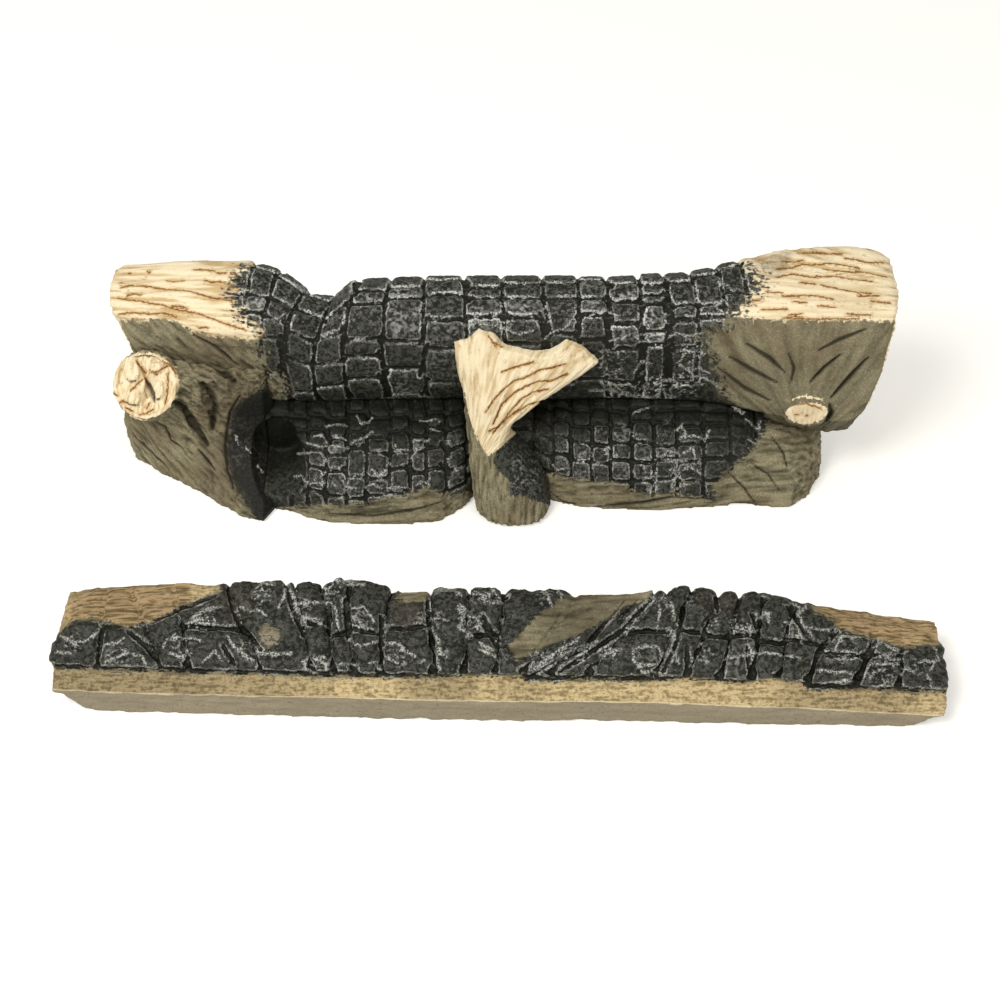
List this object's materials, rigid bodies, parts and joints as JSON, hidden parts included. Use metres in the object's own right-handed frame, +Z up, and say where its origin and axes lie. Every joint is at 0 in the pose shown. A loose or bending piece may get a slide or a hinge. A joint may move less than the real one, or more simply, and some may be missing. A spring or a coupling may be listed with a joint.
{
  "type": "gas log set",
  "caption": "Decorative gas fire log set of cast refractory: a stacked rear unit with charred bark, flared leg and forked branch, and a loose flat-based front log.",
  "frame": {"origin": "on the ground, on the flat base of the lower log, near the middle of the rear unit's length", "axes": "+X to the right along the logs, +Y to the back of the hearth, +Z up; the front log lies at -Y"},
  "size_m": [0.5096, 0.2873, 0.1294],
  "materials": {
    "upper_log_refractory": "cast refractory, hand painted as charred and split wood, matt",
    "lower_log_refractory": "cast refractory, hand painted as charred and split wood, matt",
    "leg_branch_refractory": "cast refractory, hand painted as charred and split wood, matt",
    "fork_branch_refractory": "cast refractory, hand painted as charred and split wood, matt",
    "front_log_refractory": "cast refractory, hand painted as charred and split wood, matt",
    "dowel_steel": "bright drawn steel dowel",
    "rod_steel": "plain steel rod, cast in"
  },
  "bodies": {
    "rear_logs": {"upper_log": "upper_log_refractory", "lower_log": "lower_log_refractory", "leg_branch": "leg_branch_refractory", "fork_branch": "fork_branch_refractory", "upper_log_dowels": "dowel_steel", "fork_branch_dowels": "dowel_steel", "leg_branch_dowel": "dowel_steel", "upper_log_rod": "rod_steel", "lower_log_rod": "rod_steel"},
    "front_log": {"front_log": "front_log_refractory", "front_log_rod": "rod_steel"}
  },
  "joints": [
    {"name": "front_log_lift", "type": "slide", "parent": "rear_logs", "child": "front_log", "axis": [0, 0, 1], "range_m": [0, 0.15]}
  ]
}
